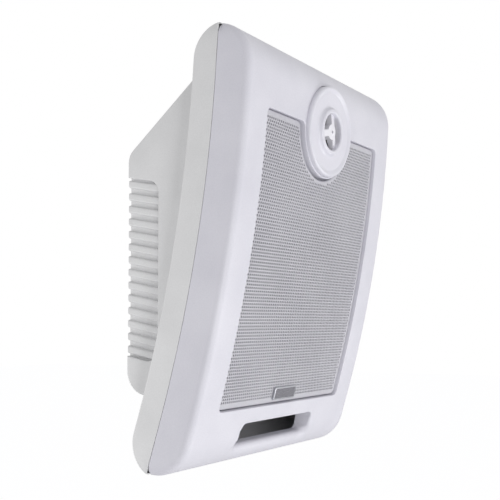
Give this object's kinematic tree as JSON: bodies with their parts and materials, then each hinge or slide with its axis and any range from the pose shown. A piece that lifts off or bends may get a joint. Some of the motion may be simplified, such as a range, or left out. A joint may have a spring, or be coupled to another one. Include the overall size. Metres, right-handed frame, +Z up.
{
  "type": "wall speaker",
  "caption": "Two-way wall speaker: a bowed, leaning slab with a perforated grille, a proud tweeter disc and a slot port, on a ribbed box with keyholes and lever terminals.",
  "frame": {"origin": "Middle of the flat back that lies against the wall.", "axes": "+Z is up along the wall. -Y points out of the wall to the listener. +X is to the right as one faces the speaker."},
  "size_m": [0.2, 0.1011, 0.2612],
  "materials": {
    "front_shell": "satin silver-grey moulding",
    "back_shell": "matt light grey moulding",
    "grille_paint": "satin grey powder coat",
    "badge_metal": "brushed, plain",
    "tweeter_face": "satin silver-grey moulding",
    "dome_fabric": "doped black cloth",
    "copper_wire": "lacquered winding",
    "zinc_steel": "zinc plated",
    "black_steel": "black coat",
    "ferrite": "sintered, ground faces",
    "dark_rubber": "matt",
    "cone_paper": "pressed paper pulp",
    "spider_cloth": "resin-dipped cloth",
    "circuit_board": "lacquered laminate",
    "film_sleeve": "shrunk sleeve",
    "ceramic_body": "fired cement",
    "wadding": "loose fibre",
    "black_plastic": "fine grain",
    "red_plastic": "satin",
    "contact_brass": "stamped strip"
  },
  "bodies": {
    "cabinet": {"front_bezel": "front_shell", "rear_cabinet": "back_shell", "seam_gasket": "dark_rubber", "grille": "grille_paint", "badge": "badge_metal", "tweeter_faceplate": "tweeter_face", "tweeter_diaphragm": "dome_fabric", "tweeter_voice_coil": "copper_wire", "tweeter_top_plate": "zinc_steel", "tweeter_magnet": "ferrite", "tweeter_yoke": "zinc_steel", "woofer_basket": "black_steel", "woofer_gasket": "dark_rubber", "woofer_surround": "dark_rubber", "woofer_spider": "spider_cloth", "woofer_top_plate": "zinc_steel", "woofer_magnet": "ferrite", "woofer_yoke": "zinc_steel", "crossover_board": "circuit_board", "crossover_inductor": "copper_wire", "crossover_capacitors": "film_sleeve", "crossover_resistor": "ceramic_body", "damping_wadding": "wadding", "terminal_cup": "black_plastic", "terminal_contacts": "contact_brass", "terminal_spring_red": "contact_brass", "terminal_spring_black": "contact_brass", "case_screws": "zinc_steel", "woofer_screws": "zinc_steel", "tweeter_screws": "zinc_steel", "board_screws": "zinc_steel", "terminal_screws": "black_steel"},
    "cone": {"woofer_cone": "cone_paper", "woofer_dust_cap": "cone_paper", "woofer_voice_coil": "copper_wire"},
    "lever_red": {"terminal_lever_red": "red_plastic"},
    "lever_black": {"terminal_lever_black": "black_plastic"}
  },
  "joints": [
    {"name": "cone_stroke", "type": "slide", "parent": "cabinet", "child": "cone", "axis": [0, -0.981, -0.1942], "range_m": [-0.003, 0.003], "stiffness_N_per_m": 1000, "deforming": ["woofer_surround", "woofer_spider"]},
    {"name": "red_lever_press", "type": "hinge", "parent": "cabinet", "child": "lever_red", "pos_m": [0.011, -0.006, 0.0539], "axis": [-1, 0, 0], "range_deg": [0, 22], "stiffness_Nm_per_rad": 0.03, "deforming": ["terminal_spring_red"]},
    {"name": "black_lever_press", "type": "hinge", "parent": "cabinet", "child": "lever_black", "pos_m": [-0.011, -0.006, 0.0539], "axis": [-1, 0, 0], "range_deg": [0, 22], "stiffness_Nm_per_rad": 0.03, "deforming": ["terminal_spring_black"]}
  ]
}
